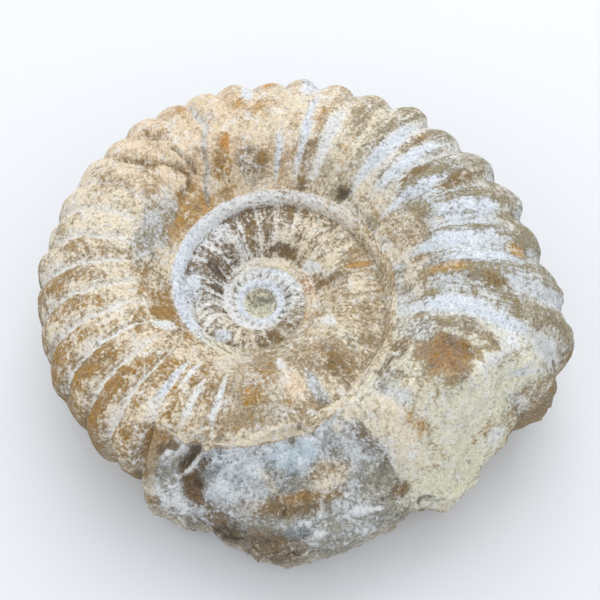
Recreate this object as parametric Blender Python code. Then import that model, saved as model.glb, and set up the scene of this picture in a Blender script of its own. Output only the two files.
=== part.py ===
"""A fossil ammonite: one ribbed limestone coil that lies on its side, its last whorl broken off.

The shell grows clockwise as seen from above. The growth angle is zero where the last whorl points
along +X, negative further back in the coil and positive further on. Lengths are in millimetres
until the mesh is made, heights are counted from the plane of the coil, and the finished stone
stands on z = 0 with its box centred on the origin.
"""

import math

import bmesh
import bpy
import numpy as np

MM = 0.001
TURN = 2 * math.pi

# The coil: each size is that of the last whorl at growth angle zero, and each growth is the
# natural logarithm of its increase per radian.
SEAM_RADIUS, SEAM_GROWTH = 44.6, 0.1606
SHOULDER_RADIUS, SHOULDER_GROWTH = 48.9, 0.1335
CROWN_RADIUS, CROWN_GROWTH = 73.3, 0.106
VENTER_RADIUS, VENTER_GROWTH, VENTER_FLARE = 109.7, 0.1050, 0.0052
CROWN_HEIGHT, HEIGHT_GROWTH = 40.6, 0.1174
SHOULDER_SLOPE = 0.507
SEAM_DIP = 0.5
TOP_WALL = ((0, 0), (0.28, 0.78), (1, 1))
UNDER_WALL = ((0, 0), (1, 1))
SECTION_POWER = 2.3
CROWN_LIMIT = 0.55
INNER_OVERLAP, OVERLAP_CHANGE = 0.42, 0.14

# The underside is flatter, and its rib crests are worn down to the plane it rests on.
UNDER_HEIGHT = 36.6
UNDER_SHOULDER = 0.85
REST_DEPTH = 35.0

# The ribs: 37 to a whorl outside, fewer further in, with broad crests and narrow furrows. They
# are low on the flank and stand up towards the outside.
RIBS_PER_WHORL = 37
FIRST_RIB = -65
RIB_CLOSING = 0.09
RIB_DEPTH = 0.030
FLANK_RIB_SHARE, RIB_RISE = 0.35, 0.2
CREST_POWER = 0.7
FURROW_START = -236.40
FURROW_WAVES = ((1.83, 0.07), (-1.51, -0.21))

# The broken stretch of the last whorl: angle in degrees, reach in plan, height of the widest line.
BROKEN_OUTLINE = (
    (2, 111.6, 0), (5, 115.2, 0), (7.4, 116.8, 0), (10.4, 116.4, 0), (13.4, 113.7, 0),
    (20.8, 112.2, 0), (23, 107.8, 0), (25.4, 103.6, 0), (31.7, 100.9, 0), (36.6, 100.5, 0),
    (40.2, 101.9, 0), (42.7, 100.0, -1), (47.5, 99.3, -2), (50.5, 94.6, -2), (54.5, 91.6, -3),
    (57, 93.5, -4), (63.5, 91.8, -5), (71.8, 92.1, -7), (84, 92.5, -11), (88.8, 90.2, -11),
    (93, 86.7, -11), (99, 85.1, -12), (102.5, 82.1, -12), (112.9, 81.0, -12), (117.2, 81.4, -11),
    (122.6, 79.9, -9), (124.5, 77.5, -9),
)
BREAK_INNER_ANGLE, BREAK_OUTER_ANGLE = 40.0, 12.0
BREAK_INNER_RADIUS, BREAK_SPAN = 73.0, 41.0
BREAK_RUN, BREAK_RAMP, BREAK_STEEPNESS = 34.0, (-0.1, 1), 0.75
UPPER_DROP, LOWER_DROP = 0.4, 1.2
DROP_FADE = (106, 120)
LEDGE_SLOPE, SLOPE_ANGLE, SLOPE_GROWTH = 0.47, 40.0, 0.0095
STEP_ANGLE, STEP_TURN, STEP_WIDTH = 75.0, 18.0, 3.0
STEP_RADIUS, STEP_SPAN, STEP_BEND = 55.0, 17.0, 0.7
STEP_TROUGH, TROUGH_WIDTH = 1.8, 9.0
WALL_SLOPE, EDGE_ROUNDING, LEDGE_CLEARANCE = 4.0, 3.0, 0.5
HEAL_ANGLE = math.radians(4)

# Lumps and hollows of the broken ground: angle in degrees, radius, reach, height.
GROUND_LUMPS = (
    (46, 74, 18, 4.5), (44, 90, 7, 1.5), (70, 76, 6, -1.5),
    (108, 66, 5, -3.0), (105, 75, 5, -3.5), (117, 72, 7, 2.5),
)
HUB_HEIGHT, HUB_OFFSET = 3.4, 1.2
HUB_COLUMNS = 60

# The mesh: columns to a rib, rows across each flank, rows round the outside, samples of a section.
COLUMNS_PER_RIB = 3
COLUMNS_PER_WHORL = RIBS_PER_WHORL * COLUMNS_PER_RIB
TOP_ROWS, UNDER_ROWS = 4, 3
OUTER_ROWS = 14
SECTION_SAMPLES = 161
MERGE_DISTANCE = 2e-5

STONE_COLOUR = (0.50, 0.43, 0.32, 1.0)
STONE_ROUGHNESS = 0.88


def ramp(value, low, high):
    """Zero below low, one above high, and a smooth step between them."""
    share = np.clip((value - low) / (high - low), 0, 1)
    return share * share * (3 - 2 * share)


def growth_angle(rib):
    """The growth angle of a furrow: even steps round the coil, plus two slow waves."""
    phase = TURN * rib / RIBS_PER_WHORL
    degrees = FURROW_START + 360 * rib / RIBS_PER_WHORL
    for wave, (cosine, sine) in enumerate(FURROW_WAVES, start=1):
        degrees = degrees + cosine * np.cos(wave * phase) + sine * np.sin(wave * phase)
    return np.radians(degrees)


JOIN_ANGLE = growth_angle(np.float64(0))
END_ANGLE = JOIN_ANGLE + TURN


def seam(angle):
    """The radius of the line where the whorl meets the one inside it."""
    return SEAM_RADIUS * np.exp(SEAM_GROWTH * angle)


def shoulder(angle):
    """The radius of the rounded edge between the inner wall and the flank."""
    return SHOULDER_RADIUS * np.exp(SHOULDER_GROWTH * angle)


def reach(angle):
    """The outer radius of the whorl: the growth law, or the broken outline where it is lost."""
    venter = VENTER_RADIUS * np.exp(VENTER_GROWTH * angle + VENTER_FLARE * angle * angle)
    degrees, radii, _ = zip(*BROKEN_OUTLINE)
    broken = np.interp(np.degrees(angle), degrees, radii)
    return np.where(np.degrees(angle) < degrees[0], venter, broken)


def widest_height(angle):
    """The height of the widest line: the plane of the coil, sinking along the broken stretch."""
    degrees, _, heights = zip(*BROKEN_OUTLINE)
    return np.interp(np.degrees(angle), degrees, heights)


def crown(angle):
    """The radius at which the whorl is thickest."""
    outside = np.maximum(angle, JOIN_ANGLE)
    law = CROWN_RADIUS * np.exp(CROWN_GROWTH * outside)
    limit = seam(outside) + CROWN_LIMIT * (reach(outside) - seam(outside))
    start = CROWN_RADIUS * np.exp(CROWN_GROWTH * JOIN_ANGLE)
    share = (start - shoulder(JOIN_ANGLE)) / (seam(END_ANGLE) - shoulder(JOIN_ANGLE))
    inner = shoulder(angle) + share * (seam(angle + TURN) - shoulder(angle))
    return np.where(angle < JOIN_ANGLE, inner, np.minimum(law, limit))


def outer_edge(angle):
    """The outer radius of the whorl, also where the next whorl hides it."""
    overlap = INNER_OVERLAP + OVERLAP_CHANGE * np.exp(np.minimum(angle - JOIN_ANGLE, 0))
    inner = crown(angle) + (seam(angle + TURN) - crown(angle)) / overlap
    return np.where(angle < JOIN_ANGLE, inner, reach(np.maximum(angle, JOIN_ANGLE)))


def crown_height(angle, side):
    """Half the thickness of the whorl, above its plane for side +1 and below it for -1."""
    if side > 0:
        return CROWN_HEIGHT * np.exp(HEIGHT_GROWTH * angle)
    return UNDER_HEIGHT * np.exp(HEIGHT_GROWTH * np.minimum(angle - JOIN_ANGLE, 0))


def shoulder_height(angle, side):
    """The shoulder's distance from the coil's plane."""
    if side > 0:
        return SHOULDER_SLOPE * shoulder(angle)
    return UNDER_SHOULDER * crown_height(angle, side)


def flank(angle, radius, side):
    """The flank's distance from the coil's plane: a sine rise to the crown, then a superellipse."""
    start, top, outer = shoulder(angle), crown(angle), outer_edge(angle)
    low, high = shoulder_height(angle, side), crown_height(angle, side)
    rise = np.sin(np.pi / 2 * np.clip((radius - start) / (top - start), 0, 1))
    fall = np.clip((radius - top) / (outer - top), 0, 1) ** SECTION_POWER
    return np.where(radius < top, low + (high - low) * rise, high * (1 - fall) ** (1 / SECTION_POWER))


def join_radius(angle):
    """Where the next whorl lies on this one, or would lie if there were one."""
    start = crown(JOIN_ANGLE)
    share = (seam(END_ANGLE) - start) / (reach(JOIN_ANGLE) - start)
    free = crown(angle) + share * (outer_edge(angle) - crown(angle))
    return np.where(angle < JOIN_ANGLE, seam(angle + TURN), free)


def loss(angle, radius):
    """How much of the whorl is broken away: zero up to the break line, one a short run past it."""
    slant = np.clip((radius - BREAK_INNER_RADIUS) / BREAK_SPAN, 0, 1)
    edge = BREAK_INNER_ANGLE + (BREAK_OUTER_ANGLE - BREAK_INNER_ANGLE) * slant
    past = radius * (angle - np.radians(edge)) / BREAK_RUN
    return ramp(past, *BREAK_RAMP) ** BREAK_STEEPNESS


def broken_ground(angle, radius):
    """The height of the ground that the break left: a ledge that slopes down from the seam, a
    curved step with a trough at its foot, and lumps."""
    degrees = np.degrees(angle)
    bend = np.clip((radius - STEP_RADIUS) / STEP_SPAN, 0, 1) ** STEP_BEND
    past_step = degrees - (STEP_ANGLE - STEP_TURN * bend)
    below = ramp(past_step, -STEP_WIDTH / 2, STEP_WIDTH / 2)
    slope = LEDGE_SLOPE * np.exp(SLOPE_GROWTH * (degrees - SLOPE_ANGLE))
    drop = UPPER_DROP + (LOWER_DROP - UPPER_DROP) * below * (1 - ramp(degrees, *DROP_FADE))
    trough = STEP_TROUGH * below * np.exp(-((past_step / TROUGH_WIDTH) ** 2))
    ground = flank(angle - TURN, seam(angle), 1) - slope * (radius - seam(angle)) - drop - trough
    for centre, distance, size, height in GROUND_LUMPS:
        away = radius**2 + distance**2 - 2 * radius * distance * np.cos(angle - math.radians(centre))
        ground = ground + height * np.exp(-away / size**2)
    return ground


def cut_top(angle, radius, height):
    """Lowers the upper side to the broken ground, and to the wall below the ground's edge."""
    share = loss(angle, radius)
    widest = widest_height(angle)
    ground = np.maximum(broken_ground(angle, radius), widest + LEDGE_CLEARANCE)
    wall = widest + WALL_SLOPE * (outer_edge(angle) - radius)
    ground = -EDGE_ROUNDING * np.logaddexp(-ground / EDGE_ROUNDING, -wall / EDGE_ROUNDING)
    ground = np.maximum(ground, widest)
    return np.minimum(height, height * (1 - share) + ground * share)


def rib_wave(angle, rib):
    """The rib relief: zero along the crests and minus one along the furrows."""
    inner = RIBS_PER_WHORL / TURN / RIB_CLOSING * (np.exp(RIB_CLOSING * (angle - JOIN_ANGLE)) - 1)
    number = np.where(angle < JOIN_ANGLE, inner, rib)
    return np.abs(np.sin(np.pi * number)) ** CREST_POWER - 1


def resampled(radius, height, rows):
    """Points at even distances along each section, one section to a row of the arrays."""
    evened = []
    for section_radius, section_height in zip(radius, height):
        steps = np.hypot(np.diff(section_radius), np.diff(section_height))
        along = np.concatenate([[0], np.cumsum(steps)])
        wanted = np.linspace(0, along[-1], rows + 1)
        evened.append([np.interp(wanted, along, section_radius), np.interp(wanted, along, section_height)])
    return np.array(evened).transpose(1, 0, 2)


def in_space(angle, radius, height):
    """Clockwise polar coordinates to X, Y and Z, with the underside worn down to the rest plane."""
    height = np.maximum(height, -REST_DEPTH) + 0 * radius
    return np.stack([radius * np.cos(angle), -radius * np.sin(angle), height], axis=-1)


def flank_strip(angle, rib, side):
    """One side of the coil from the hub outwards, as one long strip: its rows climb the wall from
    the seam to the shoulder, then cross the flank to the place where the next whorl starts."""
    wall, flank_rows = (TOP_WALL, TOP_ROWS) if side > 0 else (UNDER_WALL, UNDER_ROWS)
    along, up = np.array(wall).T
    a, inner, edge = angle[:, None], seam(angle)[:, None], shoulder(angle)[:, None]
    across = np.linspace(0, 1, flank_rows + 1)[1:]
    flank_radius = edge + (join_radius(a) - edge) * across
    foot = flank(a - TURN, inner, side) - SEAM_DIP
    wall_height = foot + up * (shoulder_height(a, side) - foot)
    relief = rib_wave(a, rib[:, None]) * RIB_DEPTH * FLANK_RIB_SHARE * flank_radius
    flank_height = flank(a, flank_radius, side) + relief * (1 - loss(a, flank_radius)) ** 2
    radius = np.concatenate([inner + along * (edge - inner), flank_radius], axis=1)
    height = np.concatenate([wall_height, flank_height], axis=1)
    if side > 0:
        height = cut_top(a, radius, height)
    opening = ramp(np.arange(len(angle)), 0, HUB_COLUMNS)[:, None]
    cone = HUB_HEIGHT + (height[:, -1:] - HUB_HEIGHT) * radius / radius[:, -1:]
    strip = in_space(a, radius, side * (cone + (height - cone) * opening))
    for column in range(COLUMNS_PER_WHORL, len(angle)):
        strip[column, 0] = strip[column - COLUMNS_PER_WHORL, -1]
    return strip


def outer_ring(angle, rib):
    """The outside of the whorl, from its upper join line over the venter to its lower one."""
    a = angle[:, None]
    top, outer, widest = crown(a), outer_edge(a), widest_height(a)
    share = (join_radius(a) - top) / (outer - top)
    start = np.arccos(np.clip(share, 0, 1) ** (SECTION_POWER / 2))
    around = start * np.linspace(1, -1, SECTION_SAMPLES)
    radius = top + (outer - top) * np.cos(around) ** (2 / SECTION_POWER)
    bulge = np.abs(np.sin(around)) ** (2 / SECTION_POWER)
    upper = widest + (crown_height(a, 1) - widest) * bulge
    lower = widest - (crown_height(a, -1) + widest) * bulge
    height = np.where(around > 0, cut_top(a, radius, upper), lower)

    radius, height = resampled(radius, height, OUTER_ROWS)
    outwards, upwards = -np.gradient(height, axis=1), np.gradient(radius, axis=1)
    length = np.hypot(outwards, upwards) + 1e-9
    rise = ramp(np.linspace(0, 1, OUTER_ROWS + 1), 0, RIB_RISE)
    rib_share = (FLANK_RIB_SHARE + (1 - FLANK_RIB_SHARE) * rise) * (1 - loss(a, radius)) ** 2
    relief = rib_wave(a, rib[:, None]) * RIB_DEPTH * radius * rib_share
    return in_space(a, radius + relief * outwards / length, height + relief * upwards / length)


def quads(start, columns, rows):
    """Faces between neighbouring columns and rows of a grid whose vertices count from start."""
    grid = start + np.arange(columns * rows).reshape(columns, rows)
    corners = [grid[:-1, :-1], grid[1:, :-1], grid[1:, 1:], grid[:-1, 1:]]
    return np.stack(corners, axis=-1).reshape(-1, 4).tolist()


def coil_grids():
    """The two flank strips and the outer ring, closed up where the broken whorl ends."""
    steps = np.arange(FIRST_RIB * COLUMNS_PER_RIB, COLUMNS_PER_WHORL + 1)
    rib = steps / COLUMNS_PER_RIB
    angle = growth_angle(rib)
    top, under = flank_strip(angle, rib, 1), flank_strip(angle, rib, -1)
    last = steps >= 0
    ring = outer_ring(angle[last], rib[last])
    ring[:, 0], ring[:, -1] = top[last, -1], under[last, -1]

    bared = outer_ring(angle[last] - TURN, rib[last] - RIBS_PER_WHORL)
    bared[:, 0], bared[:, -1] = top[last, 0], under[last, 0]
    healed = ramp(angle[last], END_ANGLE - HEAL_ANGLE, END_ANGLE)[:, None, None]
    ring = ring * (1 - healed) + bared * healed
    for strip in (top, under):
        strip[last] = strip[last] * (1 - healed) + strip[last, :1] * healed
    return top, under, ring


def build_ammonite():
    """Joins the grids, closes both hubs and stands the stone on z = 0."""
    top, under, ring = coil_grids()
    points, faces, start = [], [], 0
    for grid, side in ((top, 1), (under, -1), (ring, 0)):
        columns, rows = grid.shape[:2]
        points.append(grid.reshape(-1, 3))
        faces += quads(start, columns, rows)
        if side:
            edge = [start + column * rows for column in range(COLUMNS_PER_WHORL + 1)]
            edge += [start + row for row in range(rows - 1, -1, -1)]
            hub = start + columns * rows
            turned = growth_angle(FIRST_RIB) - TURN / 4
            points.append(in_space(turned, np.array([HUB_OFFSET]), side * HUB_HEIGHT))
            faces += [[hub, a, b] for a, b in zip(edge, edge[1:])]
            start += 1
        start += columns * rows

    points = np.concatenate(points)
    low, high = points.min(axis=0), points.max(axis=0)
    points -= [(low[0] + high[0]) / 2, (low[1] + high[1]) / 2, low[2]]
    mesh = bpy.data.meshes.new("ammonite")
    mesh.from_pydata((points * MM).tolist(), [], faces)

    work = bmesh.new()
    work.from_mesh(mesh)
    bmesh.ops.remove_doubles(work, verts=work.verts, dist=MERGE_DISTANCE)
    bmesh.ops.dissolve_degenerate(work, edges=work.edges, dist=MERGE_DISTANCE)
    bmesh.ops.triangulate(work, faces=work.faces)
    bmesh.ops.recalc_face_normals(work, faces=work.faces)
    work.to_mesh(mesh)
    work.free()
    ammonite = bpy.data.objects.new("ammonite", mesh)
    bpy.context.scene.collection.objects.link(ammonite)
    mesh.shade_smooth()
    return ammonite


def stone_material():
    """Weathered limestone: dull, tan and chalky."""
    material = bpy.data.materials.new("limestone")
    material.use_nodes = True
    shader = material.node_tree.nodes["Principled BSDF"]
    shader.inputs["Base Color"].default_value = STONE_COLOUR
    shader.inputs["Roughness"].default_value = STONE_ROUGHNESS
    shader.inputs["Metallic"].default_value = 0.0
    return material


for startup_object in list(bpy.data.objects):
    bpy.data.objects.remove(startup_object, do_unlink=True)
stone = build_ammonite()
stone.data.materials.append(stone_material())
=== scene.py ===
import math

import bpy
import numpy as np
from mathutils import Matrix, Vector


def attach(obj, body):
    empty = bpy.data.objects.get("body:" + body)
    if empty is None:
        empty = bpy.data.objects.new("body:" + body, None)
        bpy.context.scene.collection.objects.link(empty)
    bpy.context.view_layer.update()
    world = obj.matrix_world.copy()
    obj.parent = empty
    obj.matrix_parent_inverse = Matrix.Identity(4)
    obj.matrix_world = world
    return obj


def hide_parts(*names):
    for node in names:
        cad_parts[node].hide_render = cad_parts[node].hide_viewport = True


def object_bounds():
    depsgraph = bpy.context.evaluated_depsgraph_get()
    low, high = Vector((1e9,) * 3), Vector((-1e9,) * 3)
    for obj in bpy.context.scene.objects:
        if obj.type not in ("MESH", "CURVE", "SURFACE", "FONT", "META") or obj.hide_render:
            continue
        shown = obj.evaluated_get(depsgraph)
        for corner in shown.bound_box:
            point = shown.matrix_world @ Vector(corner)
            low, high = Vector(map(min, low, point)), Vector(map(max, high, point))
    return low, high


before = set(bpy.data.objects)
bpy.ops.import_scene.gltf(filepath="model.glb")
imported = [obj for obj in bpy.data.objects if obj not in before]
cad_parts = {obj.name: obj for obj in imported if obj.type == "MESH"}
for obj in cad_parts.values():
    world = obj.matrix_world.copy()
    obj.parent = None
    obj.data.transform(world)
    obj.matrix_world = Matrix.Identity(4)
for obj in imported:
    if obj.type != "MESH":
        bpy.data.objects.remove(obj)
cad_low, cad_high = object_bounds()

# The coil of the ammonite
# One stone: a ribbed shell that filled with lime mud and turned to limestone, then weathered to
# chalk and ochre. Its last whorl is broken off in front, down to the pale rock inside.

# Lengths are in millimetres and heights are counted from the plane of the coil. The shell grows
# clockwise seen from above. The growth angle is zero where the last whorl points along +X.
TURN = 2 * math.pi
SEAM_RADIUS, SEAM_GROWTH = 44.6, 0.1606
SHOULDER_RADIUS, SHOULDER_GROWTH = 48.9, 0.1335
CROWN_RADIUS, CROWN_GROWTH, CROWN_LIMIT = 73.3, 0.106, 0.55
VENTER_RADIUS, VENTER_GROWTH, VENTER_FLARE = 109.7, 0.105, 0.0052
CROWN_HEIGHT, HEIGHT_GROWTH = 40.6, 0.1174
SHOULDER_SLOPE, SECTION_POWER = 0.507, 2.3
INNER_OVERLAP, OVERLAP_CHANGE = 0.42, 0.14
UNDER_HEIGHT, UNDER_SHOULDER = 36.6, 0.85
RIBS_PER_WHORL = 37
FURROW_START, FURROW_WAVES = -236.4, ((1.83, 0.07), (-1.51, -0.21))

# The outline of the broken stretch: angle in degrees, reach in plan, height of the widest line.
BROKEN_OUTLINE = (
    (2, 111.6, 0), (5, 115.2, 0), (7.4, 116.8, 0), (10.4, 116.4, 0), (13.4, 113.7, 0), (20.8, 112.2, 0),
    (23, 107.8, 0), (25.4, 103.6, 0), (31.7, 100.9, 0), (36.6, 100.5, 0), (40.2, 101.9, 0),
    (42.7, 100.0, -1), (47.5, 99.3, -2), (50.5, 94.6, -2), (54.5, 91.6, -3), (57, 93.5, -4),
    (63.5, 91.8, -5), (71.8, 92.1, -7), (84, 92.5, -11), (88.8, 90.2, -11), (93, 86.7, -11),
    (99, 85.1, -12), (102.5, 82.1, -12), (112.9, 81.0, -12), (117.2, 81.4, -11), (122.6, 79.9, -9),
    (124.5, 77.5, -9),
)


def growth_angle(rib):
    """The growth angle of a furrow: even steps round the coil, plus two slow waves."""
    phase = TURN * rib / RIBS_PER_WHORL
    degrees = FURROW_START + 360 * rib / RIBS_PER_WHORL
    for wave, (cosine, sine) in enumerate(FURROW_WAVES, start=1):
        degrees = degrees + cosine * np.cos(wave * phase) + sine * np.sin(wave * phase)
    return np.radians(degrees)


JOIN_ANGLE = growth_angle(np.float64(0))
END_ANGLE = JOIN_ANGLE + TURN


def seam(angle):
    """The radius of the line where the whorl meets the one inside it: an exponential spiral."""
    return SEAM_RADIUS * np.exp(SEAM_GROWTH * angle)


def shoulder(angle):
    """The radius of the rounded edge between the inner wall and the flank: another spiral."""
    return SHOULDER_RADIUS * np.exp(SHOULDER_GROWTH * angle)


def reach(angle):
    """The outer radius of the whorl: an exponential of the angle and its square, or straight runs
    between the points of the broken outline where the whorl is lost."""
    venter = VENTER_RADIUS * np.exp(VENTER_GROWTH * angle + VENTER_FLARE * angle * angle)
    degrees, radii, _ = zip(*BROKEN_OUTLINE)
    broken = np.interp(np.degrees(angle), degrees, radii)
    return np.where(np.degrees(angle) < degrees[0], venter, broken)


def widest_height(angle):
    """The height of the widest line: the plane of the coil, sinking along the broken stretch."""
    degrees, _, heights = zip(*BROKEN_OUTLINE)
    return np.interp(np.degrees(angle), degrees, heights)


def crown(angle):
    """The radius at which the whorl is thickest: a spiral, kept between the seam and the venter."""
    outside = np.maximum(angle, JOIN_ANGLE)
    law = CROWN_RADIUS * np.exp(CROWN_GROWTH * outside)
    limit = seam(outside) + CROWN_LIMIT * (reach(outside) - seam(outside))
    start = CROWN_RADIUS * np.exp(CROWN_GROWTH * JOIN_ANGLE)
    share = (start - shoulder(JOIN_ANGLE)) / (seam(END_ANGLE) - shoulder(JOIN_ANGLE))
    inner = shoulder(angle) + share * (seam(angle + TURN) - shoulder(angle))
    return np.where(angle < JOIN_ANGLE, inner, np.minimum(law, limit))


def outer_edge(angle):
    """The outer radius of the whorl, also where the next whorl hides it: as far past the crown as
    the overlap says, counted in the distance from the crown to the next seam."""
    overlap = INNER_OVERLAP + OVERLAP_CHANGE * np.exp(np.minimum(angle - JOIN_ANGLE, 0))
    inner = crown(angle) + (seam(angle + TURN) - crown(angle)) / overlap
    return np.where(angle < JOIN_ANGLE, inner, reach(np.maximum(angle, JOIN_ANGLE)))


def crown_height(angle, side):
    """Half the thickness of the whorl, above its plane for side +1 and below it for -1: an
    exponential of the angle, which is level under the last whorl."""
    if side > 0:
        return CROWN_HEIGHT * np.exp(HEIGHT_GROWTH * angle)
    return UNDER_HEIGHT * np.exp(HEIGHT_GROWTH * np.minimum(angle - JOIN_ANGLE, 0))


def shoulder_height(angle, side):
    """The shoulder's distance from the coil's plane: above, a cone, and below, a fixed share of the
    crown's."""
    if side > 0:
        return SHOULDER_SLOPE * shoulder(angle)
    return UNDER_SHOULDER * crown_height(angle, side)


def flank(angle, radius, side):
    """The flank's distance from the coil's plane: a sine rise to the crown, then a superellipse."""
    start, top, outer = shoulder(angle), crown(angle), outer_edge(angle)
    low, high = shoulder_height(angle, side), crown_height(angle, side)
    rise = np.sin(np.pi / 2 * np.clip((radius - start) / (top - start), 0, 1))
    fall = np.clip((radius - top) / (outer - top), 0, 1) ** SECTION_POWER
    return np.where(radius < top, low + (high - low) * rise, high * (1 - fall) ** (1 / SECTION_POWER))


def join_radius(angle):
    """The radius where the next whorl lies on this one, or would lie: on the last whorl, the same
    share of the way from crown to outer edge all along."""
    start = crown(JOIN_ANGLE)
    share = (seam(END_ANGLE) - start) / (reach(JOIN_ANGLE) - start)
    free = crown(angle) + share * (outer_edge(angle) - crown(angle))
    return np.where(angle < JOIN_ANGLE, seam(angle + TURN), free)


# The break
# Where the last whorl broke off, the ground slopes away from the seam: a pale face at the right,
# a curved step, and grey rock with a lens-shaped hollow, down to a low front wall of thin layers.
BREAK_INNER_ANGLE, BREAK_OUTER_ANGLE = 40.0, 12.0
BREAK_INNER_RADIUS, BREAK_SPAN = 73.0, 41.0
BREAK_RUN, BREAK_RAMP, BREAK_STEEPNESS = 34.0, (-0.1, 1), 0.75
UPPER_DROP, LOWER_DROP, DROP_FADE = 0.4, 1.2, (106, 120)
LEDGE_SLOPE, SLOPE_ANGLE, SLOPE_GROWTH = 0.47, 40.0, 0.0095
STEP_ANGLE, STEP_TURN, STEP_WIDTH = 75.0, 18.0, 3.0
STEP_RADIUS, STEP_SPAN, STEP_BEND = 55.0, 17.0, 0.7
STEP_TROUGH, TROUGH_WIDTH = 1.8, 9.0
WALL_SLOPE, EDGE_ROUNDING, LEDGE_CLEARANCE = 4.0, 3.0, 0.5

# Lumps and hollows of the broken ground: angle in degrees, radius, reach, height.
GROUND_LUMPS = (
    (46, 74, 18, 4.5), (44, 90, 7, 1.5), (70, 76, 6, -1.5),
    (108, 66, 5, -3.0), (105, 75, 5, -3.5), (117, 72, 7, 2.5),
)


def ramp(value, low, high):
    """Zero at low, one at high and a smooth step between them, also where high is the lesser."""
    share = np.clip((value - low) / (high - low), 0, 1)
    return share * share * (3 - 2 * share)


def loss(angle, radius):
    """How much of the whorl is broken away: zero up to the break line, then over a short run a
    smooth step to one, raised to a power."""
    slant = np.clip((radius - BREAK_INNER_RADIUS) / BREAK_SPAN, 0, 1)
    edge = BREAK_INNER_ANGLE + (BREAK_OUTER_ANGLE - BREAK_INNER_ANGLE) * slant
    past = radius * (angle - np.radians(edge)) / BREAK_RUN
    return ramp(past, *BREAK_RAMP) ** BREAK_STEEPNESS


def past_step(angle, radius):
    """Degrees past the step between the pale upper and the grey lower ground. Its line turns by a
    power of the radius."""
    bend = np.clip((radius - STEP_RADIUS) / STEP_SPAN, 0, 1) ** STEP_BEND
    return np.degrees(angle) - (STEP_ANGLE - STEP_TURN * bend)


def broken_ground(angle, radius):
    """The height of the ground that the break left: a ledge that slopes down from the seam, a
    curved step with a bell-shaped trough at its foot, and bell-shaped lumps."""
    degrees = np.degrees(angle)
    below = ramp(past_step(angle, radius), -STEP_WIDTH / 2, STEP_WIDTH / 2)
    slope = LEDGE_SLOPE * np.exp(SLOPE_GROWTH * (degrees - SLOPE_ANGLE))
    drop = UPPER_DROP + (LOWER_DROP - UPPER_DROP) * below * (1 - ramp(degrees, *DROP_FADE))
    trough = STEP_TROUGH * below * np.exp(-((past_step(angle, radius) / TROUGH_WIDTH) ** 2))
    ground = flank(angle - TURN, seam(angle), 1) - slope * (radius - seam(angle)) - drop - trough
    for centre, distance, size, height in GROUND_LUMPS:
        away = radius**2 + distance**2 - 2 * radius * distance * np.cos(angle - math.radians(centre))
        ground = ground + height * np.exp(-away / size**2)
    return ground


def cut_top(angle, radius, height):
    """Lowers the upper side to the broken ground and the wall below its edge, which meet in a soft
    minimum: the logarithm of the sum of their exponentials."""
    share = loss(angle, radius)
    widest = widest_height(angle)
    ground = np.maximum(broken_ground(angle, radius), widest + LEDGE_CLEARANCE)
    wall = widest + WALL_SLOPE * (outer_edge(angle) - radius)
    ground = -EDGE_ROUNDING * np.logaddexp(-ground / EDGE_ROUNDING, -wall / EDGE_ROUNDING)
    ground = np.maximum(ground, widest)
    return np.minimum(height, height * (1 - share) + ground * share)


# The ribs
# Each rib is a broad crest between two narrow furrows. It is low on the flank, stands up towards
# the outside, and leans back on its way inwards. No two are quite alike.
RIB_DEPTH, CREST_PLACE, RIB_CLOSING = 0.032, 1.2, 0.09
BROAD_CREST, ROUND_CREST, CREST_CHANGE = 0.55, 0.9, (12, 18)
RIB_LEAN, STRAIGHT_RIBS = 0.5, (11, 16)
OUTER_LEAN, LEAN_REACH = 0.3, 0.7
FLANK_RIBS = ((1.0, 0.1), (1.35, 0.42), (2.0, 0.8), (2.25, 1.15), (2.5, 1.3))
CREST_VARIATION, CREST_RHYTHM = 0.2, 2.4


def rib_count(rib, section):
    """Counts the ribs along a line across the whorl. The count runs one for one on the last
    whorl and exponentially slower further in, and shifts with the section as the ribs lean."""
    angle = growth_angle(rib)
    inner = RIBS_PER_WHORL / TURN / RIB_CLOSING * (np.exp(RIB_CLOSING * (angle - JOIN_ANGLE)) - 1)
    lean = RIB_LEAN * (1 - ramp(rib, *STRAIGHT_RIBS)) * np.clip(2 - section, 0, 1)
    return np.where(rib < 0, inner, rib) - lean + OUTER_LEAN * np.clip(section - 2, 0, LEAN_REACH)


def rib_profile(count):
    """The rib relief: zero in the furrows, one along the crests, which lie past the middle. The
    crests are broad at first and round later on: a half sine raised to a growing power."""
    phase = count - np.floor(count)
    power = BROAD_CREST + (ROUND_CREST - BROAD_CREST) * ramp(count, *CREST_CHANGE)
    return np.sin(np.pi * phase**CREST_PLACE) ** power


def rib_relief(count, section, radius):
    """How far the ribs stand off the section, as minus their depth in the furrows: a share of the
    radius that grows across the flank, and no two crests alike."""
    share = np.interp(section, *zip(*FLANK_RIBS))
    crest = 1 + CREST_VARIATION * np.sin(CREST_RHYTHM * np.floor(count))
    return RIB_DEPTH * radius * share * (rib_profile(count) * crest - 1)


# The weathered surface
# Rain has worn the shell unevenly and opened small pits. The break shows sharp broken faces, and
# its front wall the edges of thin beds of rock. Each layer of noise has a height, size and seed.
WEAR = ((0.5, 19, 5), (0.36, 6.5, 6), (0.22, 2.9, 7))
WEAR_RADIUS, LEAST_WEAR = 45, 0.2
WALL_WEAR, WALL_END = 0.25, (0.85, 1.1)
PIT_DEPTH, PIT_SIZE, PIT_SEED, PIT_STEP = 0.55, 3.6, 8, (0.45, 0.85)
RIB_WAVES, WAVY_RADII = ((0.1, 11, 12), (0.05, 4.5, 13)), (20, 45)
BROKEN_FACES = ((2.4, 12, 20), (1.5, 5.0, 40), (0.7, 2.6, 60))
FACE_SPREAD, FACE_LIFT, FACE_SHARPNESS = 0.4, 0.4, 16
BARE_SHARE, BARE_RIBS, BARE_SECTIONS = 0.6, (25.8, 27), (1.1, 1.5)
LOW_WALL, LOW_WALL_FOOT = (13, 4), (0.5, 3)
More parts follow.
